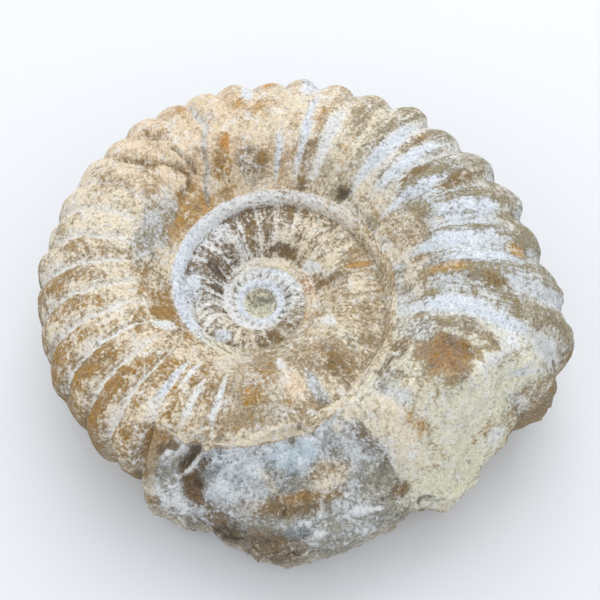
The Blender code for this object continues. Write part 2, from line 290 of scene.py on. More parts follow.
BED_THICKNESS, BED_DEPTH, BED_BIAS, BED_WAVES = 2.1, 0.7, 0.8, ((0.9, 11, 11),)
HASH_FACTORS, HASH_MIXER, HASH_MASK = (73856093, 19349663, 83492791, 2654435761), 1274126177, 0xFFFF

# Knobs and hollows of the shell: rib, section, half width in ribs, half length in sections, height.
BUMPS = (
    (10.85, 1.31, 0.5, 0.1, 2.2), (11.5, 1.6, 0.28, 0.22, 1.3), (12.36, 1.96, 0.5, 0.1, 1.5),
    (9.8, 1.45, 0.35, 0.2, 0.9), (19.7, 1.08, 0.35, 0.05, -1.2), (3.8, 1.15, 0.4, 0.07, -0.6),
    (29, 1.75, 0.16, 0.3, 0.8), (27.5, 1.5, 0.7, 0.35, -0.8), (28.4, 2.25, 0.25, 0.2, 0.8),
    (26.9, 1.88, 0.3, 0.06, 0.9), (26.3, 1.9, 0.25, 0.05, 0.8), (12.4, 1.52, 0.3, 0.16, 0.7),
)

# Marks of the break, seen from above: X, Y, half length, half width and turn in degrees, height,
# then earth and chalk colour, and cover of chalk. Most are stains of the rock. The dark line along
# the foot of the step is painted shade, and a thin white line on the top edge of the front slabs is
# a painted highlight.
BREAK_MARKS = (
    (13, -61, 11, 6.5, 0, 0.4, "slate sky", 0.74), (-9, -66, 9, 8, 20, 0, "slate mist", 0.54),
    (28, -62, 9, 5, -30, 0.3, "stone mist", 0.5), (25, -67.5, 8, 4.5, 20, 0.9, "tan cream", 0.5),
    (10, -77, 15, 3.8, 4, -0.4, "brown bone", 0.46), (18, -73.6, 13, 1.6, 6, -0.8, "golden cream", 0.42),
    (2, -88.4, 17, 4.6, -5, 0, "bistre bone", 0.3), (15, -84.4, 6.5, 2.2, 8, 0.7, "slate mist", 0.36),
    (-16, -79, 13, 3.4, -30, -0.4, "bistre mist", 0.46), (-14, -82, 13, 0.8, -26, -1.3, "umber bone", 0.22),
    # The second mark here is painted shade: a dark line along the foot of the step, over a shallow groove.
    (44, -56, 12, 6, -38, 0.8, "tan cream", 0.8), (36.5, -57.6, 11, 2.3, -36, -1.8, "bistre mist", 0.44),
    (43, -69, 8, 5, 30, 0.4, "drab bone", 0.54), (50, -70.5, 3.5, 2.5, 30, 0, "brown bone", 0.4),
    # The second mark here is a painted highlight: a thin white glint along the top edge of the slabs beside
    # it.
    (36, -82, 15, 3.6, 22, 0.6, "stone mist", 0.34), (38.5, -77.2, 6, 0.9, 8, 0.9, "drab white", 1),
    (21.6, -85.7, 2.2, 1, 20, 0.8, "drab white", 1), (4.2, -70.5, 5, 0.9, -50, 1.1, "honey cream", 0.85),
    (11.2, -56, 2.6, 2, -60, -0.5, "brown bone", 0.15),
    (-1, -60.5, 4.5, 2.2, -30, -0.4, "umber mist", 0.42),
    (5.9, -74.8, 1.1, 0.9, 0, -1.6, "umber white", 0.25), (9.4, -79.7, 1.2, 1, 0, -1.6, "umber white", 0.3),
    (-31, -66.5, 6.5, 5.5, 80, 0, "stone mist", 0.54), (-29, -73.8, 8, 2.8, -30, 0.3, "stone white", 0.62),
    (-36.4, -64.5, 9, 2.3, 80, 0.4, "tan bone", 0.44), (-26.5, -57.2, 5, 1.6, 10, 0.4, "brown cream", 0.42),
    (-32.4, -60, 2, 1.8, 20, 1.6, "bistre bone", 0.1),
    (-28.3, -59.2, 1.6, 1.3, 10, 1.3, "bistre bone", 0.1),
    (-30.2, -61.6, 2.2, 0.8, 30, 0.5, "drab white", 0.9),
    (-21.4, -60.7, 7.4, 2, 42, -2.4, "umber bone", 0.06), (-23.4, -58.5, 7.2, 0.7, 42, 1, "tan white", 0.8),
    (-22, -69.2, 6.2, 3.3, -64, -2.2, "walnut bone", 0.1),
    (-17.2, -64.8, 3.2, 1.6, 40, -0.6, "umber white", 0.4),
    (-20.4, -63.5, 7.6, 0.8, 42, 1.3, "drab white", 0.9),
)

# Cracks and creases: half width in ribs, depth, colours, cover, then the rib and section of each
# point along the line.
CRACKS = (
    (0.13, 1.5, "stone mist", 0.58, ((12.05, 1.05), (12.14, 1.12), (12.5, 1.23), (12.79, 1.42),
                                        (13.21, 1.73), (13.07, 1.88), (13, 2.2))),
    (0.14, 2.3, "brown cream", 0.34, ((11.2, 2.05), (11.71, 1.65), (11.93, 1.42), (12, 1.31))),
    (0.11, 1.5, "brown cream", 0.32, ((10, 2), (10.64, 1.65), (11.36, 1.46), (11.57, 1.31),
                                         (11.36, 1.23), (10.57, 1.22))),
    (0.07, 0.7, "brown cream", 0.3, ((2.75, 1.05), (2.45, 1.15), (2.2, 1.22))),
    (0.09, 0.8, "stone mist", 0.4, ((30.75, 1.12), (30.35, 1.35), (30.05, 1.6), (29.9, 1.8))),
)
RIBS_PER_SECTION, CRACK_WAVES = 4, ((0.16, 4, 35),)


def scatter(corner, seed):
    """A repeatable value from -1 to 1 for each whole-number corner: its coordinates and the seed,
    each times a large prime, mixed bit by bit."""
    x, y, z = np.moveaxis(corner, -1, 0)
    by_x, by_y, by_z, by_seed = HASH_FACTORS
    mixed = (x * by_x) ^ (y * by_y) ^ (z * by_z) ^ (seed * by_seed)
    mixed = (mixed ^ (mixed >> 13)) * HASH_MIXER
    return ((mixed ^ (mixed >> 16)) & HASH_MASK) / (HASH_MASK / 2) - 1


def lattice_noise(points, size, seed):
    """Smooth noise from -1 to 1: scattered values at the corners of cubes of that size, blended
    along the three axes by smooth steps."""
    cell = points / size
    corner = np.floor(cell).astype(np.int64)
    part = cell - corner
    part = part * part * (3 - 2 * part)
    total = np.zeros(points.shape[:-1])
    for step in np.ndindex(2, 2, 2):
        weight = np.where(np.array(step) == 1, part, 1 - part).prod(axis=-1)
        total += weight * scatter(corner + step, seed)
    return total


def facets(points, size, seed):
    """Broken faces from -1 to 1: the ground is split among scattered seeds on a cube grid, each
    with its own tilted plane, and neighbours blend over a narrow band."""
    cell = points / size
    corner = np.floor(cell).astype(np.int64)
    heights, weights = 0, 1e-12
    for step in np.ndindex(3, 3, 3):
        at = corner + step - 1
        jitter = np.stack([scatter(at, seed + k) for k in range(6)], axis=-1)
        offset = cell - (at + 0.5 + FACE_SPREAD * jitter[..., :3])
        weight = np.exp(-FACE_SHARPNESS * (offset**2).sum(axis=-1))
        plane = (offset * jitter[..., 3:]).sum(axis=-1) + FACE_LIFT * jitter[..., 3]
        heights = heights + weight * plane
        weights = weights + weight
    return heights / weights


def layered(points, layers, noise=lattice_noise):
    """A sum of layers: each layer's height times the noise of its size and seed."""
    return sum(height * noise(points, size, seed) for height, size, seed in layers)


def in_space(angle, radius, height):
    """Clockwise polar coordinates to X, Y and Z: radius times cosine, minus radius times sine."""
    place = np.broadcast_arrays(radius * np.cos(angle), -radius * np.sin(angle), height)
    return np.stack(place, axis=-1)


def polar(place):
    """The clockwise angle and the radius of points in space."""
    return np.arctan2(-place[..., 1], place[..., 0]), np.hypot(place[..., 0], place[..., 1])


def bump(rib, section, centre, middle, width, length):
    """A rounded patch with a fairly flat top: e to the minus third power of the distance from its
    centre, counted in half sizes."""
    away = ((rib - centre) / width) ** 2 + ((section - middle) / length) ** 2
    return np.exp(-(away**1.5))


def mark_share(place, mark):
    """How much a point lies on a mark of the break: a tilted ellipse seen from above, with e to
    the minus fifth power of the distance from its centre, counted in half sizes."""
    x, y, length, width, turn = mark[:5]
    turn = math.radians(turn)
    across, up = place[..., 0] - x, place[..., 1] - y
    along = (across * math.cos(turn) + up * math.sin(turn)) / length
    beside = (up * math.cos(turn) - across * math.sin(turn)) / width
    return np.exp(-((along**2 + beside**2) ** 2.5))


def wavy_count(rib, section, place):
    """The count of the ribs, moved a little from side to side by noise that fades at the hub."""
    wave = layered(place, RIB_WAVES) * ramp(polar(place)[1], *WAVY_RADII)
    return rib_count(rib, np.abs(section)) + wave


def crack_depth(rib, section, place, half_width, corners):
    """One on a line through the corners, falling to zero beside it as a bell curve. The line lies
    in ribs and sections, a section being about as wide as four ribs, and it wanders by noise."""
    rib = rib + layered(place, CRACK_WAVES)
    nearest = np.full(rib.shape, 1e9)
    for (rib_start, section_start), (rib_end, section_end) in zip(corners, corners[1:]):
        run, climb = rib_end - rib_start, RIBS_PER_SECTION * (section_end - section_start)
        over, up = rib - rib_start, RIBS_PER_SECTION * (section - section_start)
        along = np.clip((over * run + up * climb) / (run**2 + climb**2), 0, 1)
        nearest = np.minimum(nearest, np.hypot(over - along * run, up - along * climb))
    return np.exp(-((nearest / half_width) ** 2))


def surface_relief(rib, section, angle, radius, height):
    """How far the surface stands off the smooth section: the sum of the ribs, the wear and the
    pits, the knobs and cracks, and on the break its broken faces, its beds and its marks."""
    place = in_space(angle, radius, height)
    upper = section > -0.5
    share = loss(angle, radius) * upper
    relief = rib_relief(wavy_count(rib, section, place), np.abs(section), radius) * (1 - share) ** 3
    pits = PIT_DEPTH * ramp(lattice_noise(place, PIT_SIZE, PIT_SEED), *PIT_STEP)
    wear = (layered(place, WEAR) - pits) * np.clip(radius / WEAR_RADIUS, LEAST_WEAR, 1)
    relief = relief + wear * (WALL_WEAR + (1 - WALL_WEAR) * ramp(np.abs(section), *WALL_END))

    bare = BARE_SHARE * ramp(rib, *BARE_RIBS) * ramp(section, *BARE_SECTIONS) * upper
    bare = np.maximum(share, bare)
    rough = np.zeros_like(relief)
    rough[bare > 0] = layered(place[bare > 0], BROKEN_FACES, facets)
    low_wall = ramp(outer_edge(angle) - radius, *LOW_WALL) * share
    low_wall = low_wall * ramp(height - widest_height(angle), *LOW_WALL_FOOT)
    bed = height / BED_THICKNESS + layered(place, BED_WAVES)
    beds = BED_DEPTH * (np.abs(bed - np.floor(bed) - 0.5) * 2 - BED_BIAS) * low_wall
    relief = relief + bare * rough + beds
    for centre, middle, width, length, high in BUMPS:
        relief = relief + upper * high * bump(rib, section, centre, middle, width, length)
    for mark in BREAK_MARKS:
        relief = relief + np.minimum(2 * share, 1) * mark[5] * mark_share(place, mark)
    for half_width, depth, *_, corners in CRACKS:
        relief = relief - upper * depth * crack_depth(rib, section, place, half_width, corners)
    return relief


# The hub
# The first whorls are a shallow dish in a round white rim, with a ring of teeth where the ribs of
# the next whorl begin.
DISH_RADIUS, DISH_DEPTH = 5.6, 0.6
RIM_RADIUS, RIM_WIDTH, RIM_HEIGHT = 7.4, 1.3, 0.9
TOOTH_COUNT, TOOTH_RADIUS, TOOTH_SHIFT, TOOTH_ANGLE = 22, 10.0, 0.9, math.radians(-60)
TOOTH_REACH, TOOTH_DEPTH, TOOTH_GAP = 1.1, 0.6, (-0.95, -0.3)
RAY_COUNT, RAY_DEPTH = 30, 0.2


def teeth(angle, radius):
    """One on the teeth and zero in the gaps between them, by a cosine round the hub; and how near
    the toothed circle is, which lies a little off the middle."""
    circle = TOOTH_RADIUS + TOOTH_SHIFT * np.cos(angle - TOOTH_ANGLE)
    here = np.exp(-(((radius - circle) / TOOTH_REACH) ** 4))
    return ramp(np.cos(TOOTH_COUNT * angle), *TOOTH_GAP), here


def hub_relief(angle, radius):
    """The dish, its raised rim, its faint rays and the gaps between the teeth, added up: bells of
    the radius, some flat-topped, and for the rays and teeth also a cosine of the angle."""
    dish = -DISH_DEPTH * np.exp(-((radius / DISH_RADIUS) ** 4))
    rim = RIM_HEIGHT * np.exp(-(((radius - RIM_RADIUS) / RIM_WIDTH) ** 2))
    rays = RAY_DEPTH * np.cos(RAY_COUNT * angle) * np.exp(-((radius / RIM_RADIUS) ** 6))
    tooth, here = teeth(angle, radius)
    return dish + rim + rays - TOOTH_DEPTH * (1 - tooth) * here


# The mesh of the stone
# The stone has one closed skin: a strip winds from the hub out over each flank, a ring runs round
# the outside and small rings close the hub. The grids are welded along the edges that they share.
COLUMNS_PER_RIB = 14
COLUMNS_PER_WHORL = RIBS_PER_WHORL * COLUMNS_PER_RIB
WALL_ROWS, TOP_ROWS, UNDER_ROWS, OUTER_ROWS = 7, 26, 6, 66
UPPER_SHARE, SECTION_SAMPLES = 0.72, 301
WALL_ROUND, WALL_STRAIGHT, HUB_WEAR = 0.85, 0.15, 0.3
FIRST_RIB, SEAM_DIP, REST_DEPTH, HEAL_ANGLE = -65, 0.5, 35.0, math.radians(4)
HUB_HEIGHT, HUB_OFFSET, HUB_RIBS, HUB_SECTION = 3.4, 1.2, 20, 1.2
HUB_ROWS, UNDER_HUB_ROWS = 12, 2
MM = 0.001


def stood_off(angle, radius, height, relief, side):
    """Moves each point of a section by its relief, square to the section's line, and cuts the
    underside off at the plane that it rests on."""
    along_radius, along_height = np.gradient(radius, axis=1), np.gradient(height, axis=1)
    length = np.hypot(along_radius, along_height) + 1e-9
    new_radius = radius - side * relief * along_height / length
    new_height = height + side * relief * along_radius / length
    return in_space(angle, new_radius, np.maximum(new_height, -REST_DEPTH))


def flank_strip(rib, side):
    """One side of the coil from the hub outwards, as one long strip. Its rows climb the wall from
    the seam to the shoulder as a quarter round, then cross the flank to where the next whorl
    starts. Sections run from 0 at the seam to 1 at the shoulder and 2 at the join; they are
    negative underneath. Each point is a row of X, Y, Z, rib and section."""
    flank_rows = TOP_ROWS if side > 0 else UNDER_ROWS
    along = np.linspace(0, 1, WALL_ROWS + 1) if side > 0 else np.array([0.0, 1.0])
    up = WALL_ROUND * np.sin(np.pi / 2 * np.sqrt(along)) + WALL_STRAIGHT * along
    rib = rib[:, None]
    angle = growth_angle(rib)
    inner, edge = seam(angle), shoulder(angle)
    across = np.linspace(0, 1, flank_rows + 1)[1:]
    flank_radius = edge + (join_radius(angle) - edge) * across
    foot = flank(angle - TURN, inner, side) - SEAM_DIP
    wall_height = foot + up * (shoulder_height(angle, side) - foot)
    radius = np.hstack([inner + along * (edge - inner), flank_radius])
    height = np.hstack([wall_height, flank(angle, flank_radius, side)])
    section = side * (np.concatenate([along, 1 + across]) + 0 * radius)
    if side > 0:
        height = cut_top(angle, radius, height)
    opening = ramp(rib - FIRST_RIB, 0, HUB_RIBS)
    cone = HUB_HEIGHT + (height[:, -1:] - HUB_HEIGHT) * radius / radius[:, -1:]
    height = side * (cone + (height - cone) * opening)
    rib = rib + 0 * radius
    relief = surface_relief(rib, section, angle, radius, height)
    relief = relief * (HUB_WEAR + (1 - HUB_WEAR) * opening)
    if side > 0:
        relief = relief + hub_relief(angle, radius)
    points = stood_off(angle, radius, height, relief, side)
    points[COLUMNS_PER_WHORL:, 0] = points[:-COLUMNS_PER_WHORL, -1]
    return np.dstack([points, rib, section])


def outer_ring(rib):
    """The outside of the whorl, from its upper join line over the venter to its lower one: a
    superellipse section, cut to the broken ground, with its rows closer together on top. Sections
    run from 2 at the join to 3 at the widest line and 4 at the lower join."""
    rib = rib[:, None]
    angle = growth_angle(rib)
    top, outer, widest = crown(angle), outer_edge(angle), widest_height(angle)
    share = (join_radius(angle) - top) / (outer - top)
    start = np.arccos(np.clip(share, 0, 1) ** (SECTION_POWER / 2))
    around = start * np.linspace(1, -1, SECTION_SAMPLES)
    radius = top + (outer - top) * np.cos(around) ** (2 / SECTION_POWER)
    bulge = np.abs(np.sin(around)) ** (2 / SECTION_POWER)
    upper = widest + (crown_height(angle, 1) - widest) * bulge
    lower = widest - (crown_height(angle, -1) + widest) * bulge
    height = np.where(around > 0, cut_top(angle, radius, upper), lower)

    steps = np.hypot(np.diff(radius, axis=1), np.diff(height, axis=1))
    length = np.hstack([np.zeros_like(steps[:, :1]), np.cumsum(steps, axis=1)])
    middle = length[:, SECTION_SAMPLES // 2, None]
    upper_rows = round(OUTER_ROWS * UPPER_SHARE)
    over = np.linspace(0, 1, upper_rows + 1)[:-1]
    under = np.linspace(0, 1, OUTER_ROWS - upper_rows + 1)
    wanted = np.hstack([over * middle, middle + under * (length[:, -1:] - middle)])
    sections = zip(wanted, length, radius, height)
    even = np.array([(np.interp(w, s, r), np.interp(w, s, h)) for w, s, r, h in sections])
    radius, height = even[:, 0], even[:, 1]

    rib = rib + 0 * radius
    section = np.concatenate([2 + over, 3 + under]) + 0 * radius
    relief = surface_relief(rib, section, angle, radius, height)
    return np.dstack([stood_off(angle, radius, height, relief, 1), rib, section])


def coil_grids():
    """The two flank strips and the outer ring, closed up where the broken whorl ends: there they
    change over, by a smooth step of the angle, to the bare whorl inside."""
    rib = np.arange(FIRST_RIB * COLUMNS_PER_RIB, COLUMNS_PER_WHORL + 1) / COLUMNS_PER_RIB
    last = rib >= 0
    grids = [flank_strip(rib, 1), flank_strip(rib, -1), outer_ring(rib[last])]
    top, under, ring = [grid[..., :3] for grid in grids]
    ring[:, 0], ring[:, -1] = top[last, -1], under[last, -1]
    bared = outer_ring(rib[last] - RIBS_PER_WHORL)[..., :3]
    bared[:, 0], bared[:, -1] = top[last, 0], under[last, 0]
    healed = ramp(growth_angle(rib[last]), END_ANGLE - HEAL_ANGLE, END_ANGLE)[:, None, None]
    ring[:] = ring * (1 - healed) + bared * healed
    for strip in (top, under):
        strip[last] = strip[last] * (1 - healed) + strip[last, :1] * healed
    return grids


def grid_triangles(index):
    """Two triangles for each cell of a grid of vertex numbers."""
    a, b, c, d = index[:-1, :-1], index[1:, :-1], index[1:, 1:], index[:-1, 1:]
    halves = np.stack([np.stack([a, b, c], axis=-1), np.stack([a, c, d], axis=-1)], axis=-2)
    return halves.reshape(-1, 3)


grids = coil_grids()
numbers, vertices, triangles = [], np.empty((0, 5)), []
for grid, turn in zip(grids, (1, -1, 1)):
    numbers.append(len(vertices) + np.arange(grid[..., 0].size).reshape(grid.shape[:2]))
    vertices = np.concatenate([vertices, grid.reshape(-1, 5)])
    triangles.append(grid_triangles(numbers[-1])[:, ::turn])

# The hole inside the first whorl is closed on both sides by rings that shrink to its middle.
for side, rows in ((1, HUB_ROWS), (-1, UNDER_HUB_ROWS)):
    strip = numbers[side < 0]
    loop = np.concatenate([strip[:COLUMNS_PER_WHORL, 0], strip[0, ::-1]])
    edge = vertices[loop, :3]
    edge[:, 2] -= hub_relief(*polar(edge)) * (side > 0)
    middle = in_space(growth_angle(FIRST_RIB) - TURN / 4, HUB_OFFSET, side * HUB_HEIGHT)
    disc = middle + (edge - middle) * np.linspace(0, 1, rows + 1)[:-1, None, None]
    disc[..., 2] += hub_relief(*polar(disc)) * (side > 0)
    inner = len(vertices) + np.arange(disc[..., 0].size).reshape(disc.shape[:2])
    inner[0] = inner[0, 0]
    inner[:, -1] = inner[:, 0]
    rib_and_section = np.broadcast_to((FIRST_RIB, HUB_SECTION * side), (inner.size, 2))
    vertices = np.concatenate([vertices, np.hstack([disc.reshape(-1, 3), rib_and_section])])
    triangles.append(grid_triangles(np.concatenate([inner, loop[None]]))[:, ::-side])
triangles = np.concatenate(triangles)

# Points that two grids share are one vertex: each whorl's seam on the whorl inside it, the ring's
# edges on the strips, and the end of the broken whorl on the first column of the ring. A shared
# point may itself be shared, so the numbers are followed until they settle.
shared = np.arange(len(vertices))
first_column = -FIRST_RIB * COLUMNS_PER_RIB
for k in (0, 1):
    shared[numbers[k][-1, :]] = numbers[k][-1, 0]
    shared[numbers[k][COLUMNS_PER_WHORL:, 0]] = numbers[k][:-COLUMNS_PER_WHORL, -1]
    shared[numbers[2][:, -k]] = numbers[k][first_column:, -1]
shared[numbers[2][-1, :]] = numbers[2][0, :]
while (shared != shared[shared]).any():
    shared = shared[shared]
corners = shared[triangles]
corners = corners[(corners != np.roll(corners, 1, axis=1)).all(axis=1)]
used, corners = np.unique(corners, return_inverse=True)
corners = corners.reshape(-1, 3)

points, ribs, sections = vertices[used, :3], vertices[used, 3], vertices[used, 4]
low, high = points.min(axis=0), points.max(axis=0)
cad_middle = (np.array(cad_low) + np.array(cad_high)) / 2 / MM
shift = cad_middle - (low + high) / 2
shift[2] = -low[2]
places = np.clip(points + shift, np.array(cad_low) / MM, np.array(cad_high) / MM)

mesh = bpy.data.meshes.new("fossil_ammonite")
mesh.from_pydata((places * MM).tolist(), [], corners.tolist())
mesh.shade_smooth()
fossil = bpy.data.objects.new("fossil_ammonite", mesh)
scene = bpy.context.scene
scene.collection.objects.link(fossil)
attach(fossil, "root")
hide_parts("ammonite")

# The stains
# Iron and clay have stained the stone gold, brown and olive, and chalk lies over it in flecks and
# in streaks along the ribs. Each spot has an earth and a chalk colour and a cover of chalk. Some
# spots are painted shade instead: the shaded side of the early ribs, the deep outer furrows, the
# gaps between the hub's teeth and the foot of the step on the break. One is a painted highlight.
EARTHS = {
    "golden": "#A1804F", "tan": "#A59070", "honey": "#BC965F", "orange": "#C48C45", "brown": "#86704F",
    "umber": "#5C4F40", "olive": "#958A70", "drab": "#918C80", "slate": "#7E8588", "caramel": "#9E7C57",
    "sand": "#C2A684", "bistre": "#7A6850", "buff": "#B8AF8C", "rose": "#BE9372", "stone": "#969388",
    "walnut": "#6F5335",
}
CHALKS = {
    "white": "#E8E9E8", "blue": "#DEE5EE", "cream": "#EBDEC5", "ivory": "#E6E2CB", "bone": "#D0C7B5",
    "mist": "#D2D7DA", "peach": "#EAD6B8", "sky": "#BCCBD4",
}

# The flanks along the coil: rib, colours, cover, share of the streaks.
FLANK_COLOURS = (
    (-65, "buff ivory", 0.45, 0.5), (-58, "drab blue", 0.8, 0.3), (-50, "olive white", 0.6, 0.7),
    (-44, "brown bone", 0.5, 0.7), (-38, "bistre cream", 0.54, 0.5), (-31, "bistre white", 0.56, 0.7),
    (-25, "bistre white", 0.54, 0.5), (-18, "brown cream", 0.56, 0.6), (-13, "tan cream", 0.54, 0.6),
    (-8, "tan cream", 0.47, 0.5), (-3, "tan bone", 0.5, 0.5), (0, "golden cream", 0.54, 0.3),
    (4, "golden cream", 0.56, 0.2), (8, "tan cream", 0.62, 0.2), (11, "sand peach", 0.62, 0.3),
    (14, "sand peach", 0.6, 0.3), (17, "sand cream", 0.6, 0.5), (19, "olive cream", 0.52, 0.6),
    (22, "olive mist", 0.49, 0.7), (25, "olive mist", 0.49, 0.6), (27, "tan ivory", 0.55, 0.3),
    (29, "buff ivory", 0.74, 0.1), (30.5, "stone mist", 0.54, 0.2), (35.8, "stone mist", 0.54, 0.2),
    (36.5, "golden bone", 0.45, 0.2), (37, "golden bone", 0.5, 0.2),
)

# The walls between the whorls: rib, colours, cover.
WALL_COLOURS = (
    (-65, "buff ivory", 0.5), (-60, "drab white", 0.7), (-50, "drab white", 0.75), (-30, "drab white", 0.7),
    (-18, "tan cream", 0.7), (-14, "rose cream", 0.5), (-11, "sand cream", 0.5), (-7, "tan bone", 0.5),
    (0, "tan ivory", 0.6), (3, "slate blue", 0.74), (9, "slate blue", 0.78), (13, "drab white", 0.85),
    (18, "sand white", 0.7), (22, "tan cream", 0.5), (26, "tan cream", 0.45), (30, "tan cream", 0.6),
    (37, "tan cream", 0.7),
)

# Stains: rib, section, half width in ribs, half length in sections, colours, cover.
STAINS = (
    (4.2, 1.05, 2.4, 0.06, "golden bone", 0.44), (10.5, 1.08, 2.2, 0.12, "honey peach", 0.3),
    (11, 1.19, 1, 0.1, "honey peach", 0.4), (8.3, 1.25, 2, 0.15, "olive mist", 0.56),
    (3, 1.17, 0.35, 0.08, "slate white", 0.85), (3.8, 1.15, 0.4, 0.08, "golden bone", 0.1),
    (13.7, 1.4, 0.22, 0.12, "orange peach", 0.2), (13.3, 1.2, 0.7, 0.16, "golden peach", 0.42),
    (14.9, 1.18, 0.8, 0.14, "brown bone", 0.4), (17.5, 1.18, 0.4, 0.2, "bistre cream", 0.34),
    (15.35, 2.25, 0.24, 0.2, "orange peach", 0.5), (12.7, 1.95, 0.25, 0.15, "honey peach", 0.45),
    (22.6, 2.12, 1.8, 0.2, "olive bone", 0.42), (22.5, 1.15, 3, 0.16, "tan cream", 0.6),
    (18.5, 1.2, 1.5, 0.12, "tan bone", 0.52), (16.1, 1.28, 0.16, 0.22, "drab blue", 0.76),
    (17.05, 1.5, 0.2, 0.4, "drab blue", 0.7), (17.95, 1.5, 0.25, 0.35, "drab white", 0.9),
    (16.7, 2.1, 0.3, 0.25, "drab blue", 0.7), (14.8, 1.9, 0.2, 0.25, "drab blue", 0.7),
    (17.5, 1.68, 0.4, 0.08, "honey peach", 0.5), (18.8, 1.35, 0.25, 0.14, "honey cream", 0.5),
    (19.6, 1.06, 0.4, 0.07, "umber bone", 0.15), (21.2, 1.55, 0.16, 0.2, "brown bone", 0.25),
    (20.3, 1.8, 0.2, 0.2, "brown cream", 0.3), (21.9, 1.8, 0.22, 0.25, "brown cream", 0.3),
    (22.9, 1.42, 0.12, 0.05, "honey cream", 0.2), (24.6, 1.4, 0.15, 0.15, "honey peach", 0.56),
    (24.95, 1.68, 0.18, 0.14, "brown bone", 0.3), (24, 1.98, 0.2, 0.1, "honey peach", 0.6),
    (25.4, 2.15, 0.3, 0.3, "olive bone", 0.4), (19.9, 1.55, 0.25, 0.5, "drab blue", 0.76),
    (20.7, 1.6, 0.22, 0.4, "drab blue", 0.7), (21.7, 1.45, 0.2, 0.3, "drab blue", 0.7),
    (22.8, 1.7, 0.35, 0.3, "drab blue", 0.7), (23.7, 1.45, 0.25, 0.35, "drab blue", 0.76),
    (24.3, 1.7, 0.15, 0.4, "drab blue", 0.7), (25.75, 1.4, 0.3, 0.4, "drab blue", 0.84),
    (25.9, 1.8, 0.16, 0.2, "drab blue", 0.76), (26.3, 1.5, 0.28, 0.2, "olive bone", 0.3),
    (26.6, 1.2, 0.4, 0.15, "drab white", 0.6), (27.2, 2.1, 1, 0.4, "buff ivory", 0.66),
    (28.3, 1.58, 0.42, 0.26, "walnut cream", 0.36), (27.3, 1.54, 0.58, 0.25, "caramel bone", -0.05),
    (27.85, 1.6, 0.5, 0.22, "caramel bone", -0.05), (27.9, 1.12, 0.9, 0.1, "bistre bone", 0.3),
    (26.3, 1.9, 0.3, 0.09, "drab white", 0.96), (26.9, 1.88, 0.34, 0.1, "drab white", 0.98),
    (26.6, 2.2, 0.25, 0.08, "slate mist", 0.9), (27.5, 2.8, 0.25, 0.12, "drab white", 1),
    (28.9, 2.8, 0.4, 0.12, "brown bone", 0.3), (-3, 1.99, 3.6, 0.03, "tan cream", 0.8),
    (33.5, 0.9, 4, 0.08, "honey bone", 0.35), (28.6, 2.3, 1.2, 0.9, "buff ivory", 0.8),
    (28.9, 1.28, 0.5, 0.2, "drab mist", 0.6), (29.2, 1.55, 0.35, 0.45, "buff cream", 0.85),
    (28.3, 1.3, 0.5, 0.1, "tan ivory", 0.5), (29.3, 2.05, 0.22, 0.2, "honey ivory", 0.62),
    (27.7, 2.45, 0.3, 0.2, "honey ivory", 0.62), (28.8, 1.78, 0.25, 0.16, "honey ivory", 0.66),
    (30.2, 1.1, 0.6, 0.12, "tan cream", 0.8), (28.85, 1.6, 0.3, 0.1, "honey cream", 0.54),
    (28.3, 1.76, 0.2, 0.12, "honey ivory", 0.58), (29.4, 1.75, 0.28, 0.12, "drab white", 0.86),
    (28.7, 2.05, 0.3, 0.12, "honey ivory", 0.62), (15, 1.78, 0.8, 0.07, "honey peach", 0.42),
    (-33.2, 1.15, 0.7, 0.25, "umber bone", 0.38), (-30.1, 1.12, 0.5, 0.2, "umber bone", 0.34),
    (-28.1, 1.3, 0.5, 0.25, "umber bone", 0.34), (-25, 1.2, 0.6, 0.2, "umber bone", 0.38),
    (-22.9, 1.35, 0.5, 0.25, "brown cream", 0.34), (-19, 1.12, 2, 0.1, "bistre bone", 0.2),
    (-15.5, 1.08, 1, 0.1, "drab white", 0.9), (-13.6, 1.25, 0.45, 0.2, "brown bone", 0.36),
    (-14, 1.75, 0.2, 0.3, "honey cream", 0.2), (-10, 1.2, 0.45, 0.12, "drab white", 0.9),
    (-5.2, 1.2, 0.3, 0.12, "drab white", 0.9), (-4, 1.35, 1.2, 0.2, "golden bone", 0.4),
    (0.3, 1.6, 0.15, 0.3, "drab blue", 0.78), (-0.9, 1.68, 0.16, 0.28, "drab white", 0.8),
    (-0.2, 1.38, 0.13, 0.16, "drab white", 0.8), (-1.9, 1.6, 0.15, 0.32, "drab white", 0.76),
    (-3.5, 1.52, 0.6, 0.14, "golden cream", 0.36), (-5.5, 1.55, 0.5, 0.24, "rose peach", 0.64),
    (-6.4, 1.72, 0.32, 0.3, "drab mist", 0.56), (-7.9, 1.66, 0.5, 0.28, "brown cream", 0.32),
    (-9.3, 1.6, 0.5, 0.25, "olive cream", 0.62), (-4.4, 1.8, 0.5, 0.12, "olive bone", 0.5),
    (-36.5, 1.8, 0.8, 0.3, "drab blue", 0.7), (-31, 1.85, 1.6, 0.25, "drab blue", 0.75),
)
STAIN_STRENGTH, MARK_STRENGTH, CRACK_STRENGTH, STAIN_EDGE = 0.92, 0.92, 0.8, (0.04, 0.9)
RIB_WANDER = ((0.22, 4.0, 31), (0.12, 1.8, 33))
SECTION_WANDER = ((0.08, 4.0, 32), (0.04, 1.8, 34))
MARK_WANDER, MARK_RIBS, MARK_SECTIONS = (4, 8, 0), (28.6, 29.4), (1.0, 1.06)
WALL_FADE, WALL_RAGGED = (1.02, 0.82), ((0.05, 3.0, 36),)
SEAM_LEDGE_RIBS, SEAM_LEDGE_SECTIONS = (29, 31), (0.72, 0.8)
# The gap strength is how strongly painted shade fills the gaps between the hub's teeth.
HUB_EDGE, DISH_EDGE, RIM_STAIN, GAP_SHADE_STRENGTH = (13, 10.5), (6.6, 5.4), 1.5, 0.6
STREAK_RIBS, STREAK_RADII, COVER_RANGE = (-65, -37, 0, 37), (6, 12, 42, 80), (-0.2, 1.2)
